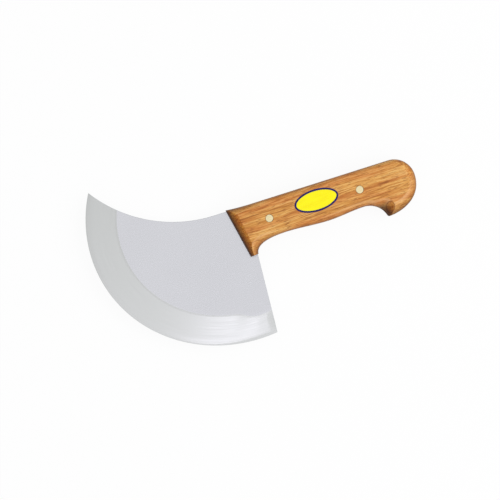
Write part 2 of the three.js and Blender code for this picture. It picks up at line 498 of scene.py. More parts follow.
@dataclass(frozen=True)
class OiledHardwood(Finish):
    """Orange-brown hardwood, sawn along the grain, sanded fine and oiled.

    The eye gets fine fibres and short dark pores along the handle, golden and redder zones, amber
    to brown end grain where the front and the hook are cut across the grain, with painted shade
    making the slopes that face the tip darker still, painted shade that darkens the wood down
    towards the steel, a small knot in the hook, and paler bands on the grip's slopes that face the
    belly.
    """

    name: str = "oiled_hardwood"
    roughness: Pair = (0.4, 0.56)
    span: Pair = (0.3, 0.7)
    relief: Pair = (0.3, 0.1)
    specular: float = 0.3
    body: Stops = ((0.57, "#A4662B"), (0.71, "#CA883E"), (0.84, "#E0A456"), (0.98, "#EDBC72"))
    streak_weight: float = 0.6
    red: str = "#F2DCD6"
    red_span: Pair = (0.42, 0.62)
    pore: str = "#8A5124"
    pore_span: Pair = (0.57, 0.66)
    pore_strength: float = 0.6
    # Paler colour laid on the grip's slopes that face the belly
    pale_band_tint: str = "#E9B884"
    # End grain colour with painted shade: end grain that faces the tip is darker than end grain
    # facing the butt
    end_grain_and_shade: Stops = (
        (0.085, "#C0AC86"), (0.255, "#EDD49A"), (0.36, "#FFFFFF"), (0.625, "#FFFFFF"),
        (0.8, "#F6E8CA"),
    )
    # Painted shade: darkens the wood towards the steel, most in the deep carved edges
    painted_shade: Stops = (
        (0.2, "#665E54"), (0.42, "#8C847A"), (0.56, "#9E978E"), (0.7, "#D0CCC6"),
        (0.94, "#FFFFFF"),
    )
    pale_band: Stops = ((0.08, "#000000"), (0.22, "#E4E4E4"), (0.42, "#E4E4E4"), (0.62, "#000000"))
    gripped: Stops = ((0.1, "#FFFFFF"), (0.25, "#000000"), (0.44, "#000000"), (0.61, "#FFFFFF"))
    knot: Stops = ((0.0, "#FCF6EC"), (0.66, "#FAF0E0"), (0.86, "#BEA47E"), (1.0, "#FFFFFF"))
    knot_place: Pair = (107.4, -30.6)
    knot_size: Pair = (6.1, 9.7)
    knot_turn: float = math.radians(-17.6)
    knot_raggedness: float = 0.5
    zone_size: Triple = (38, 5, 8)
    streak_size: Triple = (90, 2.2, 4)
    fibre_size: Triple = (14, 0.62, 0.8)
    pore_size: Triple = (4.5, 0.55, 0.6)
    wander: float = 3
    wander_size: Triple = (80, 30, 30)
    cross_cut: Triple = (0.98, -0.19, 0)
    finger_side: Triple = (0.25, -0.97, 0)
    depth: float = HANDLE_HALF

    def material(self, length: float) -> Material:
        """Makes the material.

        Args:
            length: Length of the handle in millimetres.

        Returns:
            The material.
        """
        material, tree, shader = self.begin()
        place = add_node(tree, "TexCoord", give="Object")
        facing = add_node(tree, "TexCoord", give="Normal")
        # The grain wanders by a millimetre or so along the handle
        wander = add_node(tree, "TexNoise", {
            "Vector": add_node(tree, "Mapping", {
                "Vector": place, "Scale": per_metre(*self.wander_size),
            }),
            "Scale": 1, "Detail": 1,
        }, give="Color")
        grain = add_node(tree, "VectorMath", {
            0: wander, 1: (0, self.wander * MM, self.wander * MM), 2: place,
        }, operation="MULTIPLY_ADD")
        # Fibres and pores are about 0.2 mm wide; they are drawn at 0.6 mm so that they show
        zone, streak, fibre, pore = (
            add_node(tree, "TexNoise", {
                "Vector": add_node(tree, "Mapping", {"Vector": grain, "Scale": per_metre(*size)}),
                "Scale": 1, "Detail": detail, "Roughness": 0.6,
            })
            for size, detail in (
                (self.zone_size, 1), (self.streak_size, 2),
                (self.fibre_size, 3), (self.pore_size, 1),
            )
        )
        tone = add_node(tree, "Math", {
            0: streak, 1: self.streak_weight, 2: fibre,
        }, operation="MULTIPLY_ADD")
        body = add_node(tree, "ValToRGB", {"Fac": tone}, self.body)
        redness, pits = (
            add_node(tree, "MapRange", {
                "Value": pattern, "From Min": low, "From Max": high, "To Max": strength,
            })
            for pattern, (low, high), strength in (
                (zone, self.red_span, 1), (pore, self.pore_span, self.pore_strength),
            )
        )
        cross, turned = (
            add_node(tree, "VectorMath", {0: facing, 1: way}, give="Value", operation="DOT_PRODUCT")
            for way in (self.cross_cut, self.finger_side)
        )
        # 0 faces the blade's tip and 1 the butt; tip-facing end grain is darkened further as
        # painted shade
        lean = add_node(tree, "Math", {0: cross, 1: 0.5, 2: 0.5}, operation="MULTIPLY_ADD")
        end_grain_and_shade = add_node(tree, "ValToRGB", {"Fac": lean}, self.end_grain_and_shade)
        # 0 is the middle of the blade's thickness and 1 the scale's face; lower wood gets painted
        # shade
        along, _, above = add_node(tree, "SeparateXYZ", {0: place}).node.outputs
        rise = add_node(tree, "Math", {0: above, 1: DATUM.corner.z}, operation="SUBTRACT")
        height = add_node(tree, "Math", {
            0: add_node(tree, "Math", {0: rise}, operation="ABSOLUTE"), 1: self.depth * MM,
        }, operation="DIVIDE")
        painted_shade = add_node(tree, "ValToRGB", {"Fac": height}, self.painted_shade)
        # 0 is the front of the handle and 1 the butt
        station = add_node(tree, "MapRange", {
            "Value": along, "From Min": DATUM.corner.x, "From Max": DATUM.place(length, 0).x,
        })
        # Paler band on the grip's slopes that face the belly, near the throat and the recess
        pale_band = streak
        for position, stops in ((turned, self.pale_band), (station, self.gripped)):
            pale_band = add_node(tree, "Math", {
                0: pale_band, 1: add_node(tree, "ValToRGB", {"Fac": position}, stops),
            }, operation="MULTIPLY")
        ring = add_node(tree, "VectorMath", {
            0: add_node(tree, "Mapping", {
                "Vector": place, "Location": DATUM.place(*self.knot_place),
                "Rotation": (0, 0, self.knot_turn),
                "Scale": (self.knot_size[0] / 2 * MM, self.knot_size[1] / 2 * MM, 1),
            }, vector_type="TEXTURE"),
        }, give="Value", operation="LENGTH")
        ragged = add_node(tree, "Math", {
            0: zone, 1: self.knot_raggedness, 2: ring,
        }, operation="MULTIPLY_ADD")
        # The noise is about half on average, so half its share keeps the ring at its size
        evened = add_node(tree, "Math", {
            0: ragged, 1: self.knot_raggedness / 2,
        }, operation="SUBTRACT")
        knot = add_node(tree, "ValToRGB", {"Fac": evened}, self.knot)
        # The knot is in the front scale alone
        shown = add_node(tree, "Math", {0: rise, 1: 0}, operation="GREATER_THAN")
        for share, colour, blend in (
            (redness, linear(self.red), "MULTIPLY"), (pits, linear(self.pore), "MIX"),
            (pale_band, linear(self.pale_band_tint), "MIX"), (1.0, end_grain_and_shade, "MULTIPLY"),
            (1.0, painted_shade, "MULTIPLY"), (shown, knot, "MULTIPLY"),
        ):
            body = add_node(tree, "Mix", {
                "Factor": share, 6: body, 7: colour,
            }, give=2, data_type="RGBA", blend_type=blend)
        tree.links.new(body, shader.inputs["Base Color"])
        shader.inputs["Specular IOR Level"].default_value = self.specular
        relief = add_node(tree, "Math", {0: fibre, 1: pits}, operation="SUBTRACT")
        self.texture(shader, fibre, relief)
        return material


@dataclass(frozen=True)
class LappedBrass(Finish):
    """Pale brass pin, peened and sanded flush with the wood.

    The eye gets a cream disc with fine sanding lines along the grain.
    """

    name: str = "lapped_brass"
    roughness: Pair = (0.32, 0.48)
    relief: Pair = (0.15, 0.03)
    tones: Stops = ((0.3, "#EDDEAE"), (0.62, "#FAEDC1"))
    line_size: Triple = (6, 0.3, 0.3)

    def material(self) -> Material:
        """Makes the material.

        Returns:
            The material.
        """
        material, tree, shader = self.begin()
        # Sanding lines are about 0.08 mm apart; they are drawn at 0.3 mm so that they show
        lines = add_node(tree, "Mapping", {
            "Vector": add_node(tree, "TexCoord", give="Object"),
            "Scale": per_metre(*self.line_size),
        })
        scratch = add_node(tree, "TexNoise", {"Vector": lines, "Scale": 1, "Detail": 3})
        shader.inputs["Metallic"].default_value = 1
        add_node(tree, "ValToRGB", {"Fac": scratch}, self.tones, to=shader.inputs["Base Color"])
        self.texture(shader, scratch, scratch)
        return material


@dataclass(frozen=True)
class GlossVinyl(Finish):
    """Printed vinyl film, calendered glossy and stuck down.

    The eye gets a full, even ink colour under a thin clear gloss with a faint ripple from the wood.
    """

    name: str = "gloss_vinyl_yellow"
    roughness: Pair = (0.24, 0.38)
    relief: Pair = (0.12, 0.1)
    inks: Stops = ((0.3, "#FBEC0A"), (0.6, "#FFF60E"))
    ripple_size: Triple = (9, 2.5, 2.5)
    ior: float = 1.5
    specular: float = 0.25

    def material(self) -> Material:
        """Makes the material.

        Returns:
            The material.
        """
        material, tree, shader = self.begin()
        ripples = add_node(tree, "Mapping", {
            "Vector": add_node(tree, "TexCoord", give="Object"),
            "Scale": per_metre(*self.ripple_size),
        })
        film = add_node(tree, "TexNoise", {"Vector": ripples, "Scale": 1, "Detail": 3})
        add_node(tree, "ValToRGB", {"Fac": film}, self.inks, to=shader.inputs["Base Color"])
        shader.inputs["IOR"].default_value = self.ior
        shader.inputs["Specular IOR Level"].default_value = self.specular
        self.texture(shader, film, film)
        return material


@dataclass(frozen=True)
class WhiteTable(Finish):
    """White laminate table under the knife, bleached out as in a catalogue picture."""

    name: str = "white_table"
    colour: str = "#F4F4F4"
    dullness: float = 0.9
    bleach: float = 0.93

    def material(self) -> Material:
        """Makes the material.

        Returns:
            The material.
        """
        material, tree, shader = self.begin()
        shader.inputs["Base Color"].default_value = linear(self.colour)
        shader.inputs["Roughness"].default_value = self.dullness
        rays = add_node(tree, "LightPath").node.outputs
        seen = rays["Is Camera Ray"]
        for kind in ("Is Glossy Ray", "Is Transmission Ray"):
            seen = add_node(tree, "Math", {0: seen, 1: rays[kind]}, operation="MAXIMUM")
        add_node(tree, "MixShader", {
            0: add_node(tree, "Math", {0: seen, 1: self.bleach}, operation="MULTIPLY"),
            1: shader.outputs[0],
            2: add_node(tree, "Emission", {"Color": (1, 1, 1, 1), "Strength": 1}),
        }, to=tree.nodes["Material Output"].inputs["Surface"])
        return material


class CarvedEdge(NamedTuple):
    """Form of a carved edge: width on the face, drop down the side, and roundness from 0 to 1."""

    width: float
    drop: float
    roundness: float


@dataclass(frozen=True)
class Stretch:
    """Part of the outline along which one carved edge turns into another."""

    curve: Curve
    start: CarvedEdge
    end: CarvedEdge

    def edges(self, part: Array) -> Array:
        """Gives the carved edge's sizes along the stretch."""
        blend = smoothstep(part)[:, None]
        return (1 - blend) * np.array(self.start) + blend * np.array(self.end)


class CarvedRun:
    """Unbroken run of carving along the outline."""

    steps: int = 300
    overrun: float = 6
    overrun_steps: int = 40

    def __init__(self, stretches: Sequence[Stretch]) -> None:
        """Samples the run and carries it on past both ends.

        Args:
            stretches: Its stretches, clockwise round the handle.
        """
        part = np.linspace(0, 1, self.steps + 1)
        points = trace([(stretch.curve, self.steps) for stretch in stretches])
        first, *others = [stretch.edges(part) for stretch in stretches]
        sizes = np.concatenate([first, *[edges[1:] for edges in others]])
        out = np.linspace(self.overrun, 0, self.overrun_steps, endpoint=False)[:, None]
        lead = points[0] - points[1]
        tail = points[-1] - points[-2]
        self.points = np.concatenate([
            points[0] + out * lead / np.linalg.norm(lead),
            points,
            points[-1] + out[::-1] * tail / np.linalg.norm(tail),
        ])
        self.sizes = np.concatenate([
            np.repeat(sizes[:1], len(out), axis=0), sizes, np.repeat(sizes[-1:], len(out), axis=0),
        ])
        self.inward = -left_sides(self.points, closed=False)
        self.tree = KDTree(len(self.points))
        for index, (x, y) in enumerate(self.points):
            self.tree.insert((x, y, 0), index)
        self.tree.balance()

    def depth(self, plan: Array) -> Array:
        """Finds how far the carving goes below the scale's face.

        Args:
            plan: Places in plan.

        Returns:
            The depth at each place, below zero where the carving doesn't reach.
        """
        near = np.array([self.tree.find((x, y, 0))[1] for x, y in plan])
        gap = np.einsum("ij,ij->i", plan - self.points[near], self.inward[near])
        width, drop, roundness = self.sizes[near].T
        part = 1 - gap / width
        quarter = 1 - np.sqrt(1 - np.clip(part, 0, 1) ** 2)
        return drop * ((1 - roundness) * part + roundness * quarter)


@dataclass(frozen=True)
class HandleOutline:
    """Outline of the handle: straight top, round butt, finger hook, swelling belly and front drop.

    Each carved edge is the form that the scales' rim has at that place.
    """

    length: float = 129.8
    butt_upper_radius: float = 14.6
    butt_fullness: float = 0.77
    hook_fullness: float = 0.37
    recess_from_butt: float = 39.4
    recess_depth: float = 25.2
    hook_radius: float = 13.9
    hook_below_drop: float = 2.1
    swell_depth: float = 26.9
    swell_share: float = 0.54
    waist_from_front: float = 34.9
    waist_depth: float = 25.4
    belly_ease: float = 0.36
    throat_reach: float = 12
    throat_rise: float = 6.5
    drop_depth: float = 34.4
    drop_end_width: float = 5.6
    drop_end_rise: float = 0.5
    front_lean: float = math.radians(11.2)
    heel_lean: float = math.radians(3.5)
    heel_setback: float = 0.5
    top_lift: float = 0.9
    top_lift_reach: float = 18
    nose_length: float = 1.5
    front_rivet: float = 26.65
    rear_rivet_from_butt: float = 38.85
    label_behind_middle: float = 2
    crown_front: CarvedEdge = CarvedEdge(4.8, 6.2, 0.55)
    crown_reach: float = 26
    crown: CarvedEdge = CarvedEdge(3.6, 4.4, 0.85)
    butt_rim: CarvedEdge = CarvedEdge(4.8, 5, 0.75)
    butt_low: CarvedEdge = CarvedEdge(6.8, 6, 0.5)
    scoop: CarvedEdge = CarvedEdge(8.8, 8, 0.25)
    scoop_share: float = 0.22
    scoop_fade: float = 0.62
    belly_round: CarvedEdge = CarvedEdge(4.2, 4.5, 0.85)
    drop_round: CarvedEdge = CarvedEdge(6, 6, 0.5)
    front_bevel_low: CarvedEdge = CarvedEdge(5.2, 7, 0.6)
    front_bevel_high: CarvedEdge = CarvedEdge(6.2, 7, 0.6)

    @property
    def drop_front(self) -> Array:
        """Front corner at the bottom of the drop."""
        return np.array([self.drop_depth * math.tan(self.front_lean), -self.drop_depth])

    @property
    def drop_heel(self) -> Array:
        """Rear corner at the bottom of the drop."""
        return self.drop_front + [self.drop_end_width, self.drop_end_rise]

    @property
    def heel_start(self) -> Array:
        """Point under the drop where the blade's heel leaves the wood."""
        back = self.heel_setback / self.drop_end_width
        return self.drop_heel + back * (self.drop_front - self.drop_heel)

    @property
    def heel_down(self) -> Array:
        """Direction down the blade's heel."""
        return np.array([-math.sin(self.heel_lean), -math.cos(self.heel_lean)])

    @property
    def waist(self) -> Array:
        """Narrowest point of the grip, behind the drop."""
        return np.array([self.waist_from_front, -self.waist_depth])

    @property
    def recess(self) -> Array:
        """Top of the finger recess, ahead of the hook."""
        return np.array([self.length - self.recess_from_butt, -self.recess_depth])

    @property
    def swell(self) -> Array:
        """Deepest point of the belly."""
        reach = self.swell_share * (self.recess[0] - self.waist[0])
        return np.array([self.waist[0] + reach, -self.swell_depth])

    @property
    def butt_centre(self) -> Array:
        """Middle of the butt's upper round."""
        return np.array([self.length - self.butt_upper_radius, -self.butt_upper_radius])

    @property
    def front_corner(self) -> Array:
        """Front top corner, which stands a little above the blade's spine."""
        return np.array([-self.top_lift * math.tan(self.front_lean), self.top_lift])

    @property
    def hook_tip(self) -> Array:
        """Tip of the finger hook.

        Returns:
            The point at which its two sides would meet.
        """
        depth = -self.drop_depth - self.hook_below_drop
        rise = depth - (self.recess[1] - self.hook_radius)
        return np.array([self.recess[0] + math.sqrt(self.hook_radius**2 - rise**2), depth])

    @property
    def upper_butt(self) -> Curve:
        """Upper round of the butt."""
        return part_of(circle(self.butt_centre, self.butt_upper_radius), math.pi / 2, 0)

    @property
    def lower_butt(self) -> Curve:
        """Full lower curve of the butt.

        Returns:
            The curve from the upper round down to the hook's nose.
        """
        end = np.array([self.length, -self.butt_upper_radius])
        tip = self.hook_tip
        leave = end + self.butt_fullness * np.array([0, tip[1] - end[1]])
        arrive = tip + self.hook_fullness * np.array([end[0] - tip[0], 0])
        kept = 1 - self.nose_length / (3 * np.linalg.norm(tip - arrive))
        return part_of(bezier(end, leave, arrive, tip), 0, kept)

    @property
    def nose(self) -> Curve:
        """Nose of the finger hook.

        Returns:
            The curve round its blunt end.
        """
        start, end = self.lower_butt(np.ones(1))[0], self.hook(np.zeros(1))[0]
        tip = self.hook_tip
        return bezier(start, (start + 2 * tip) / 3, (end + 2 * tip) / 3, end)

    @property
    def hook(self) -> Curve:
        """Inside of the finger hook.

        Returns:
            The curve from its nose to the recess.
        """
        centre = self.recess - [0, self.hook_radius]
        start = math.asin((self.hook_tip[1] - centre[1]) / self.hook_radius)
        start += self.nose_length / self.hook_radius
        return part_of(circle(centre, self.hook_radius), start, math.pi / 2)

    @property
    def rear_belly(self) -> Curve:
        """Belly from the recess to its swell."""
        return self.eased(self.recess, self.swell)

    @property
    def front_belly(self) -> Curve:
        """Belly from its swell to the waist."""
        return self.eased(self.swell, self.waist)

    @property
    def throat(self) -> Curve:
        """Throat behind the drop.

        Returns:
            The curve from the waist down the back of the drop.
        """
        leave = self.waist - [self.throat_reach, 0]
        arrive = self.drop_heel - self.throat_rise * self.heel_down
        return bezier(self.waist, leave, arrive, self.drop_heel)

    def eased(self, start: Array, end: Array) -> Curve:
        """Gives an S-curve that is level at both ends."""
        ease = np.array([(end[0] - start[0]) * self.belly_ease, 0])
        return bezier(start, start + ease, end - ease, end)

    def top(self, x: Array) -> Array:
        """Gives points of the handle's upper outline.

        Args:
            x: Places along the handle.

        Returns:
            The points: a slight rise at the front, a straight back and the butt's round.
        """
        past = np.clip(x - self.butt_centre[0], 0, self.butt_upper_radius)
        lift = self.top_lift * np.clip(1 - x / self.top_lift_reach, 0, 1) ** 2
        height = self.butt_centre[1] + np.sqrt(self.butt_upper_radius**2 - past**2) + lift
        return np.stack([x, height], axis=1)

    def underside(self, steps: Sequence[int]) -> Route:
        """Gives the lower outline behind the drop, from the front to the butt.

        Args:
            steps: Number of steps along each of its curves.

        Returns:
            Each curve with its number of steps.
        """
        curves = (
            self.throat, self.front_belly, self.rear_belly, self.hook, self.nose, self.lower_butt,
        )
        return [(part_of(curve, 1, 0), count) for curve, count in zip(curves, steps)]

    def runs(self) -> list[CarvedRun]:
        """Gives the carving along the back, the belly and the front.

        Returns:
            The three runs.
        """
        plain = self.belly_round
        front, rear = self.front_corner[0], self.butt_centre[0]
        forms = (
            (
                (part_of(self.top, front, self.crown_reach), self.crown_front, self.crown),
                (part_of(self.top, self.crown_reach, rear), self.crown, self.crown),
                (self.upper_butt, self.crown, self.butt_rim),
                (self.lower_butt, self.butt_rim, self.butt_low),
            ),
            (
                (part_of(self.hook, 0, self.scoop_share), self.scoop, self.scoop),
                (part_of(self.hook, self.scoop_share, self.scoop_fade), self.scoop, plain),
                (part_of(self.hook, self.scoop_fade, 1), plain, plain),
                (self.rear_belly, plain, plain),
                (self.front_belly, plain, plain),
                (self.throat, plain, self.drop_round),
            ),
            (
                (
                    straight(self.drop_front, self.front_corner),
                    self.front_bevel_low, self.front_bevel_high,
                ),
            ),
        )
        return [CarvedRun([Stretch(*form) for form in run]) for run in forms]


@dataclass(frozen=True)
class Rivet:
    """Brass pin through the handle, with a countersunk head at each face."""

    x: float
    y: float = -13.2
    face: float = HANDLE_HALF
    shank_radius: float = 2
    head_radius: float = 2.55
    head_depth: float = 1.2
    proud: float = 0.01
    rim_break: float = 0.05
    rim_dip: float = 0.006
    ring_shares: Pair = (0.02, 0.6)
    hole_gap: float = 0.25
    hole_overrun: float = 1
    facets: int = 64
    crease: float = 40

    def build(self, name: str, brass: Material) -> Object:
        """Makes the pin.

        Args:
            name: Name of the piece.
            brass: Its material.

        Returns:
            The pin, in the scene.
        """
        top = self.face + self.proud
        rim = self.head_radius
        return self.turned(name, [brass], [
            *[(share * rim, top) for share in self.ring_shares],
            (rim - 2 * self.rim_break, top), (rim - self.rim_break, top - self.rim_dip),
            (rim, top - self.rim_break), (self.shank_radius, self.face - self.head_depth),
        ])

    def hole(self) -> Object:
        """Makes the shape that the drill and countersink take out of both scales.

        Returns:
            The shape, in the scene until it has been used.
        """
        flare = (self.head_radius - self.shank_radius) / self.head_depth
        mouth = self.head_radius + self.hole_gap
        return self.turned("rivet_hole", [], [
            (mouth + flare * self.hole_overrun, self.face + self.hole_overrun), (mouth, self.face),
            (self.shank_radius + self.hole_gap, self.face - self.head_depth),
        ])

    def turned(self, name: str, materials: Sequence[Material], half: Sequence[Pair]) -> Object:
        """Turns a shape on the pin's axis that is the same at both faces.

        Args:
            name: Name of the object.
            materials: Its materials.
            half: Radius and height of each ring, from the front face to the shank.

        Returns:
            The object, in the scene.
        """
        draft = Draft()
        profile = [*half, *[(radius, -z) for radius, z in reversed(half)]]
        draft.lathe((self.x, self.y), profile, self.facets)
        return draft.piece(name, materials, self.crease)


@dataclass(frozen=True)
class Scale:
    """Carved wooden half of the handle."""

    outline: HandleOutline
    side: Side
    thickness: float = HANDLE_HALF - SHEET_HALF
    tang_half: float = SHEET_HALF
    drop_steps: int = 18
    underside_steps: tuple[int, ...] = (64, 36, 36, 64, 8, 80)
    rows: int = 96
    lean_reach: float = 40
    arris: float = 0.45
    joint_rise: float = 0.22
    joint_inset: float = 0.1
    crease: float = 38

    def columns(self) -> tuple[Array, Array]:
        """Pairs points along the lower outline with points along the upper one.

        Returns:
            The lower points and the upper points, from the front to the butt.
        """
        outline = self.outline
        drop = straight(outline.drop_front, outline.drop_heel)
        lower = trace([(drop, self.drop_steps), *outline.underside(self.underside_steps)])
        front = outline.drop_front[0]
        lean = 1 - smoothstep((lower[:, 0] - front) / self.lean_reach)
        return lower, outline.top(lower[:, 0] - (front - outline.front_corner[0]) * lean)

    def depth(self, plan: Array) -> Array:
        """Finds how far the carved surface lies below the face.

        Args:
            plan: Places in plan.

        Returns:
            The depth at each place.
        """
        back, belly, front = [run.depth(plan) for run in self.outline.runs()]
        carved = soft_max(soft_max(back, belly, self.arris), front, self.arris)
        return soft_max(carved, 0.0, self.arris / 2)

    def build(self, name: str, wood: Material, holes: Sequence[Object]) -> Object:
        """Makes the scale, with its carved face, sides, flat inner face and rivet holes.

        Args:
            name: Name of the piece.
            wood: Its material.
            holes: Shapes that are taken out of it.

        Returns:
            The scale, in the scene.
        """
        lower, upper = self.columns()
        share = (1 - np.cos(np.linspace(0, math.pi, self.rows + 1)))[None, :, None] / 2
        plan = lower[:, None] * (1 - share) + upper[:, None] * share
        height = self.thickness - self.depth(plan.reshape(-1, 2)).reshape(plan.shape[:2])
        draft = Draft()
        surface = np.dstack([plan, self.tang_half + height]) * self.side.flip
        columns = [draft.row(points) for points in surface]
        draft.skin(columns)
        rim = [column[0] for column in columns]
        rim += [column[-1] for column in columns[-2::-1]] + columns[0][-2:0:-1]
        loop = np.array([vertex.co for vertex in rim])[:, :2]
        inner = loop + self.joint_inset * left_sides(loop, closed=True)
        foot, seat = (
            draft.row(np.column_stack([ring, np.full(len(ring), z)]) * self.side.flip)
            for ring, z in ((loop, self.tang_half + self.joint_rise), (inner, self.tang_half))
        )
        draft.skin([rim, foot, seat], closed=True)
        draft.fill(seat)
        piece = draft.piece(name, [wood], self.crease)
        self.drill(piece, holes)
        return piece

    def drill(self, piece: Object, holes: Sequence[Object]) -> None:
        """Takes the rivet holes out of the wood.

        Args:
            piece: The scale.
            holes: Shapes that are taken out of it.
        """
        for hole in holes:
            cut = piece.modifiers.new("drill", "BOOLEAN")
            cut.operation = "DIFFERENCE"
            cut.solver = "EXACT"
            cut.object = hole
        graph = bpy.context.evaluated_depsgraph_get()
        drilled = bpy.data.meshes.new_from_object(piece.evaluated_get(graph))
        piece.modifiers.clear()
        piece.data = drilled
        shade(drilled, self.crease)


@dataclass(frozen=True)
class Blade:
    """Crescent blade and full tang in one sheet, ground from both sides to an elliptical edge.

    The edge has a narrow honed strip, above it a slight roll, and above that the bevel. Both strips
    change towards the heel, where the bevel is narrower and thinned down its side. The reaches, the
    heel's blend and its strip are shares of the way from the heel to the tip.
    """

    outline: HandleOutline
    half: float = SHEET_HALF
    long_radius: float = 97.9
    short_radius: float = 90.2
    tilt: float = math.radians(15.1)
    centre: Pair = (0.6, 1.4)
    bevel_width: float = 21.6
    hone_width: float = 0.35
    hone_heel_width: float = 2.3
    hone_reach: float = 0.25
    hone_slope: float = math.tan(math.radians(7))
    roll_width: float = 3
    roll_heel_width: float = 0.4
    roll_slope: float = math.tan(math.radians(4.3))
    grind_ease: float = 1.5
    heel_ease: float = 3.2
    heel_grind_shift: float = 5
    heel_reach: float = 0.165
    heel_blend: float = 0.11
    heel_strip: float = 0.027
    heel_fall: float = 0.3
    spine_radius: float = 93.5
    spine_straight: float = 8.5
    spine_span: Pair = (-math.pi / 2, -math.radians(150))
    edge_round: float = 0.25
    edge_round_share: float = 0.5
    edge_round_turns: tuple[float, ...] = (0, 25, 50, 75, 90)
    bore_gap: float = 0.15
    bore_facets: int = 32
    edge_columns: int = 240
    heel_columns: int = 16
    ease_rows: int = 4
    bevel_rows: int = 9
    roll_rows: tuple[float, ...] = (0.35, 0.7, 1)
    hone_rows: tuple[float, ...] = (0.5, 1)
    underside_steps: tuple[int, ...] = (48, 24, 24, 40, 8, 60)
    heel_steps: int = 16
    corner_steps: int = 2
    back_steps: int = 40
    spine_straight_steps: int = 4
    spine_steps: int = 80
    halvings: int = 50
    crease: float = 9

    @property
    def spin(self) -> Array:
        """Matrix that turns places in plan to the ellipse's own directions."""
        cosine, sine = math.cos(self.tilt), math.sin(self.tilt)
        return np.array([[cosine, -sine], [sine, cosine]])

    def unit(self, plan: Array) -> Array:
        """Gives places as on a unit disc whose rim is the cutting edge."""
        return (plan - np.array(self.centre)) @ self.spin / [self.long_radius, self.short_radius]

    def plan(self, reach: Array, turn: Array) -> Array:
        """Gives places in plan from their reach and turn on that disc.

        Args:
            reach: Distance from the disc's middle, 1 at the cutting edge.
            turn: Angle in radians.

        Returns:
            The places.
        """
        disc = np.stack([
            reach * self.long_radius * np.cos(turn), reach * self.short_radius * np.sin(turn),
        ], axis=-1)
        return disc @ self.spin.T + np.array(self.centre)

    def heel_turn(self, reach: Array) -> Array:
        """Finds the turn at which each reach meets the heel.

        Args:
            reach: Reaches on the disc.

        Returns:
            The turns in radians.
        """
        corner = self.outline.heel_start
        start = self.unit(corner)
        ahead = self.unit(corner + self.outline.heel_down) - start
        pace, along = ahead @ ahead, start @ ahead
        root = np.sqrt(along * along - pace * (start @ start - reach**2))
        run = (root - along) / pace
        met = start + run[..., None] * ahead
        return np.arctan2(met[..., 1], met[..., 0]) % FULL_TURN

    def spine_turn(self, reach: Array) -> tuple[Array, Array]:
        """Finds where each reach meets the hollow spine, by halving.

        Args:
            reach: Reaches on the disc.

        Returns:
            The turns on the disc, and the angles round the spine's own circle.
        """
        low, high = (np.full(reach.shape, end) for end in self.spine_span)
        for _ in range(self.halvings):
            middle = (low + high) / 2
            inside = np.linalg.norm(self.unit(self.spine(middle)), axis=-1) < reach
            low, high = np.where(inside, middle, low), np.where(inside, high, middle)
        met = self.unit(self.spine(low))
        return np.arctan2(met[..., 1], met[..., 0]), low

    def spine(self, turn: Array) -> Array:
        """Gives points of the spine's circle."""
        return circle((-self.spine_straight, self.spine_radius), self.spine_radius)(turn)

    def section(self, across: Array) -> tuple[Array, Array]:
        """Gives the ground band's rows from the flat to the edge.

        Args:
            across: Shares of the way along the edge, from the heel to the tip.

        Returns:
            The reach on the disc and the blade's half thickness, for each row and share.
        """
        to_heel = smoothstep(1 - across / self.hone_reach)
        hone = self.hone_width + (self.hone_heel_width - self.hone_width) * to_heel
        roll = self.roll_width + (self.roll_heel_width - self.roll_width) * to_heel
        by_heel = smoothstep((self.heel_reach - across) / self.heel_blend)
        ease = self.grind_ease + (self.heel_ease - self.grind_ease) * by_heel
        grind = self.long_radius - self.bevel_width + self.heel_grind_shift * by_heel
        foot = self.long_radius - hone
        crest = foot - roll
        crest_half = self.hone_slope * hone + self.roll_slope * roll
        slope = (self.half - crest_half) / (crest - grind)
        eased = np.linspace(-1, 1, 2 * self.ease_rows + 1)[:, None] * ease
        run = np.linspace(0, 1, self.bevel_rows + 1)[1:, None]
        ground = (1 - run) * (grind + ease) + run * crest
        rolled = np.array(self.roll_rows)[:, None] * roll
        honed = foot + np.array(self.hone_rows)[:, None] * hone
        radius = np.concatenate([grind + eased, ground, crest + rolled, honed])
        half = np.concatenate([
            self.half - slope * (eased + ease) ** 2 / (4 * ease),
            self.half - slope * (ground - grind),
            crest_half - self.roll_slope * rolled,
            self.hone_slope * (self.long_radius - honed),
        ])
        ground_share = np.clip((radius - grind) / ease, 0, 1)
        by_side = np.clip(1 - across / self.heel_strip, 0, 1) ** 2
        return radius / self.long_radius, half * (1 - self.heel_fall * ground_share * by_side)

    def shore(self, heel_end: Array, spine_end: float) -> Array:
        """Traces the outline of the flat and the tang, where the sheet has its full thickness.

        Args:
            heel_end: Point on the heel where the bevel starts.
            spine_end: Angle round the spine's circle where the bevel starts.

        Returns:
            The points from the heel, round the tang, to the spine.
        """
        outline = self.outline
        corner = np.zeros(2)
        spine_start = np.array([-self.spine_straight, 0])
        return trace([
            (straight(heel_end, outline.heel_start), self.heel_steps),
            (straight(outline.heel_start, outline.drop_heel), self.corner_steps),
            *outline.underside(self.underside_steps),
            (part_of(outline.upper_butt, 1, 0), self.back_steps),
            (part_of(outline.top, outline.butt_centre[0], 0), self.back_steps),
            (straight(np.array([0, outline.top_lift]), corner), self.corner_steps),
            (straight(corner, spine_start), self.spine_straight_steps),
            (part_of(self.spine, self.spine_span[0], spine_end), self.spine_steps),
        ])

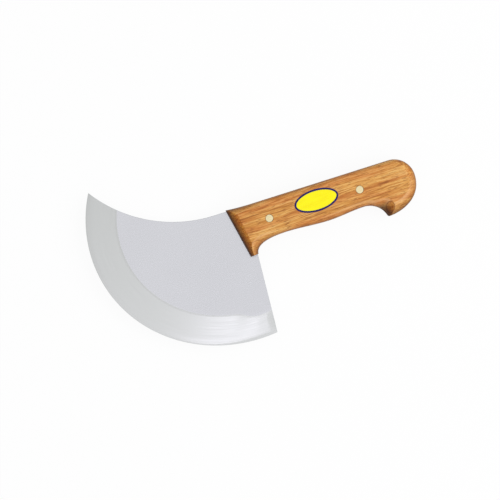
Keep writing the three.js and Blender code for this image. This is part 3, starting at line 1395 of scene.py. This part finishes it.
    def build(self, name: str, steels: Sequence[Material], rivets: Sequence[Rivet]) -> Object:
        """Makes the blade with its tang.

        Args:
            name: Name of the piece.
            steels: Steel of the flat, then of the bevel.
            rivets: Pins that pass through the tang.

        Returns:
            The blade, in the scene.
        """
        across = np.concatenate([
            np.linspace(0, self.heel_strip, self.heel_columns, endpoint=False),
            np.linspace(self.heel_strip, 1, self.edge_columns + 1),
        ])
        reach, half = self.section(across)
        tip_turn, spine_angle = self.spine_turn(reach)
        band = self.plan(reach, self.heel_turn(reach) * (1 - across) + tip_turn * across)
        sheet = np.dstack([band, half])
        shore = self.shore(band[0, 0], spine_angle[0, -1])
        rim = np.concatenate([band[:0:-1, 0], shore, band[1:, -1]])
        rim_half = np.concatenate([
            half[:0:-1, 0], np.full(len(shore), self.half), half[1:, -1],
        ])
        easing = np.minimum(self.edge_round, self.edge_round_share * rim_half)
        inward = left_sides(rim, closed=False)
        layers = [
            np.column_stack([
                rim + inward * (easing * (1 - math.sin(turn)))[:, None],
                rim_half - easing * (1 - math.cos(turn)),
            ])
            for turn in np.radians(self.edge_round_turns)
        ]
        # The sheet's two ends follow the rim's first layer, which starts where edge and heel meet
        last = len(sheet) - 1
        sheet[1:, 0] = layers[0][last - 1::-1]
        sheet[0, 0] = layers[0][last]
        sheet[:, -1] = layers[0][-1 - last:]
        draft = Draft()
        edge = draft.row(sheet[last])
        faces = []
        for side in Side:
            rows = [draft.row(points * side.flip) for points in sheet[:last]]
            draft.skin(rows[:self.ease_rows + 1])
            draft.skin([*rows[self.ease_rows:], edge], finish=1)
            inner = draft.row(layers[0][last + 1:-1 - last] * side.flip)
            chain = [row[0] for row in [edge, *rows[::-1]]] + inner
            chain += [row[-1] for row in [*rows, edge]]
            bores = [
                draft.ring(
                    (rivet.x, rivet.y), rivet.shank_radius + self.bore_gap, side.value * self.half,
                    self.bore_facets,
                )
                for rivet in rivets
            ]
            draft.fill([*rows[0], *inner[::-1]], *bores)
            faces.append(([chain, *[draft.row(layer * side.flip) for layer in layers[1:]]], bores))
        (upper, upper_bores), (lower, lower_bores) = faces
        draft.skin([*upper, *lower[::-1]])
        for pair in zip(upper_bores, lower_bores):
            draft.skin(pair, closed=True)
        return draft.piece(name, steels, self.crease)


@dataclass(frozen=True)
class Label:
    """Oval sticker on the front scale, printed with a rim round a plain field.

    Its edge is given by insets in millimetres and shares of the thickness.
    """

    x: float
    y: float = -11.2
    face: float = HANDLE_HALF
    length: float = 30.8
    height: float = 15.1
    thickness: float = 0.18
    rim: float = 1.3
    edge: tuple[Pair, ...] = ((0, 0), (0, 0.6), (0.05, 0.88), (0.14, 1))
    field_insets: Pair = (2.2, 3.2)
    facets: int = 144
    crease: float = 50

    def ring(self, inset: float, share: float) -> Array:
        """Gives an oval inside the label's outline.

        Args:
            inset: Distance inside the outline.
            share: Height above the wood as a share of the thickness.

        Returns:
            Points of the oval.
        """
        turn = np.linspace(0, FULL_TURN, self.facets, endpoint=False)
        radii = np.array([self.length, self.height]) / 2
        around = np.stack([np.cos(turn), np.sin(turn)], axis=1)
        out = around / radii
        out /= np.linalg.norm(out, axis=1, keepdims=True)
        oval = [self.x, self.y] + radii * around - inset * out
        return np.column_stack([oval, np.full(self.facets, self.face + share * self.thickness)])

    def build(self, name: str, vinyls: Sequence[Material]) -> Object:
        """Makes the sticker.

        Args:
            name: Name of the piece.
            vinyls: Vinyl inside the rim, then on the rim.

        Returns:
            The sticker, in the scene.
        """
        draft = Draft()
        border = [*self.edge, (self.rim / 2, 1), (self.rim, 1)]
        rings = [draft.row(self.ring(inset, share)) for inset, share in border]
        draft.skin(rings, closed=True, finish=1)
        field_rings = [draft.row(self.ring(inset, 1)) for inset in self.field_insets]
        draft.skin([rings[-1], *field_rings], closed=True)
        draft.fill(field_rings[-1])
        draft.fill(rings[0], finish=1)
        return draft.piece(name, vinyls, self.crease)


@dataclass(frozen=True)
class Softbox:
    """Studio lamp that faces the knife, with angles in degrees, metres and watts.

    It is kept out of mirror images, so that the blade shows the dome and never a white sheet.
    """

    name: str
    bearing: float
    elevation: float
    distance: float
    size: Pair
    power: float

    def place(self, target: Vector, away: Vector) -> None:
        """Puts the lamp in the scene.

        Args:
            target: Place that it faces.
            away: Direction from there to the lamp.
        """
        lamp = bpy.data.lights.new(self.name, "AREA")
        lamp.shape = "RECTANGLE"
        lamp.size, lamp.size_y = self.size
        lamp.energy = self.power
        holder = bpy.data.objects.new(self.name, lamp)
        holder.location = target + away * self.distance
        holder.rotation_euler = away.to_track_quat("Z", "Y").to_euler()
        holder.visible_camera = holder.visible_glossy = False
        bpy.context.scene.collection.objects.link(holder)


@dataclass(frozen=True)
class Panel:
    """Soft glow on the studio's dome, with its place and its outer and inner reach in degrees."""

    bearing: float
    lean: float
    outer: float
    inner: float
    glow: float
    tint: str = "#F6F0FF"


@dataclass(frozen=True)
class Studio:
    """White table, soft light and a camera straight above the knife.

    The table's and the camera's sizes are in metres, and the picture's width is in millimetres.
    """

    handle_turn: float = math.radians(17.6155)
    aim: Pair = (7.62, -29.74)
    picture_width: float = 340
    camera_height: float = 5.0
    camera_range: float = 50
    sensor: float = 36
    table_half: float = 4
    table_drop: float = 0.0003
    dome: Stops = ((0.0, "#98989C"), (0.95, "#F6F6F6"))
    dome_lean: float = 22
    panels: tuple[Panel, ...] = (
        Panel(-81.5, 5.5, 1.9, 0.4, 1.02),
        Panel(-91.5, 8.8, 2.5, 0.6, 0.9),
        Panel(-84, 25, 33, 12, 0.185),
    )
    lamps: tuple[Softbox, ...] = (Softbox("key", 4, 46, 1.3, (1.1, 1.1), 7.4),)

    def build(self) -> None:
        """Sets up the table, the light and the camera."""
        bpy.context.scene.view_settings.view_transform = "Standard"
        aim = DATUM.place(*self.aim)
        self.table()
        self.sky()
        for lamp in self.lamps:
            lamp.place(aim, self.direction(lamp.bearing, lamp.elevation))
        camera = bpy.data.cameras.new("camera")
        camera.sensor_width = self.sensor
        camera.lens = self.sensor * self.camera_height / (self.picture_width * MM)
        camera.clip_end = self.camera_range
        holder = bpy.data.objects.new("camera", camera)
        holder.location = aim + Vector((0, 0, self.camera_height))
        holder.rotation_euler = (0, 0, -self.handle_turn)
        bpy.context.scene.collection.objects.link(holder)
        bpy.context.scene.camera = holder

    def direction(self, bearing: float, elevation: float) -> Vector:
        """Gives a direction as the picture shows it.

        Args:
            bearing: Degrees round from the picture's right.
            elevation: Degrees above the table.

        Returns:
            The unit vector in the frame.
        """
        turn = math.radians(bearing) - self.handle_turn
        rise = math.radians(elevation)
        level = math.cos(rise)
        return Vector((math.cos(turn) * level, math.sin(turn) * level, math.sin(rise)))

    def table(self) -> None:
        """Lays the white table just under the knife."""
        mesh = bmesh.new()
        bmesh.ops.create_grid(mesh, x_segments=1, y_segments=1, size=self.table_half)
        data = bpy.data.meshes.new("table")
        mesh.to_mesh(data)
        mesh.free()
        data.materials.append(WhiteTable().material())
        table = bpy.data.objects.new("table", data)
        table.location = (0, 0, -self.table_drop)
        bpy.context.scene.collection.objects.link(table)

    def sky(self) -> None:
        """Hangs a dome, bright overhead and dimmer by the table, with soft panels near its top."""
        world = bpy.data.worlds.new("studio")
        bpy.context.scene.world = world
        world.use_nodes = True
        tree = world.node_tree
        way = add_node(tree, "TexCoord", give="Generated")
        middles = [(0, self.dome_lean), *[(panel.bearing, panel.lean) for panel in self.panels]]
        overhead, *nearness = [
            add_node(tree, "VectorMath", {
                0: way, 1: self.direction(bearing, 90 - lean),
            }, give="Value", operation="DOT_PRODUCT")
            for bearing, lean in middles
        ]
        lit = add_node(tree, "ValToRGB", {"Fac": overhead}, self.dome)
        for panel, near in zip(self.panels, nearness):
            glow = add_node(tree, "MapRange", {
                "Value": near, "From Min": math.cos(math.radians(panel.outer)),
                "From Max": math.cos(math.radians(panel.inner)), "To Max": panel.glow,
            }, interpolation_type="SMOOTHSTEP")
            lit = add_node(tree, "VectorMath", {
                0: glow, 1: linear(panel.tint)[:3], 2: lit,
            }, operation="MULTIPLY_ADD")
        tree.links.new(lit, tree.nodes["Background"].inputs["Color"])


def main() -> None:
    """Builds and dresses the knife, and sets up its studio."""
    logging.basicConfig(level=logging.INFO, format="%(name)s: %(message)s", force=True)
    outline = HandleOutline()
    front_rivet = Rivet(outline.front_rivet)
    rear_rivet = Rivet(outline.length - outline.rear_rivet_from_butt)
    rivets = (front_rivet, rear_rivet)

    blade = Blade(outline)
    steels = [SatinStainless().material(), GroundBevel().material(blade)]
    install(blade.build("crescent_blade", steels, rivets), "blade")

    wood = OiledHardwood().material(outline.length)
    holes = [rivet.hole() for rivet in rivets]
    for side, node in ((Side.FRONT, "front_scale"), (Side.BACK, "back_scale")):
        install(Scale(outline, side).build(f"carved_{node}", wood, holes), node)
    for hole in holes:
        bpy.data.objects.remove(hole)

    brass = LappedBrass().material()
    install(front_rivet.build("front_pin", brass), "front_rivet")
    install(rear_rivet.build("rear_pin", brass), "rear_rivet")

    navy = GlossVinyl("gloss_vinyl_navy", inks=((0.3, "#241C66"), (0.6, "#1A1458")))
    label = Label((front_rivet.x + rear_rivet.x) / 2 + outline.label_behind_middle)
    vinyls = [GlossVinyl().material(), navy.material()]
    install(label.build("oval_label", vinyls), "label")

    Studio().build()


if __name__ == "__main__":
    main()
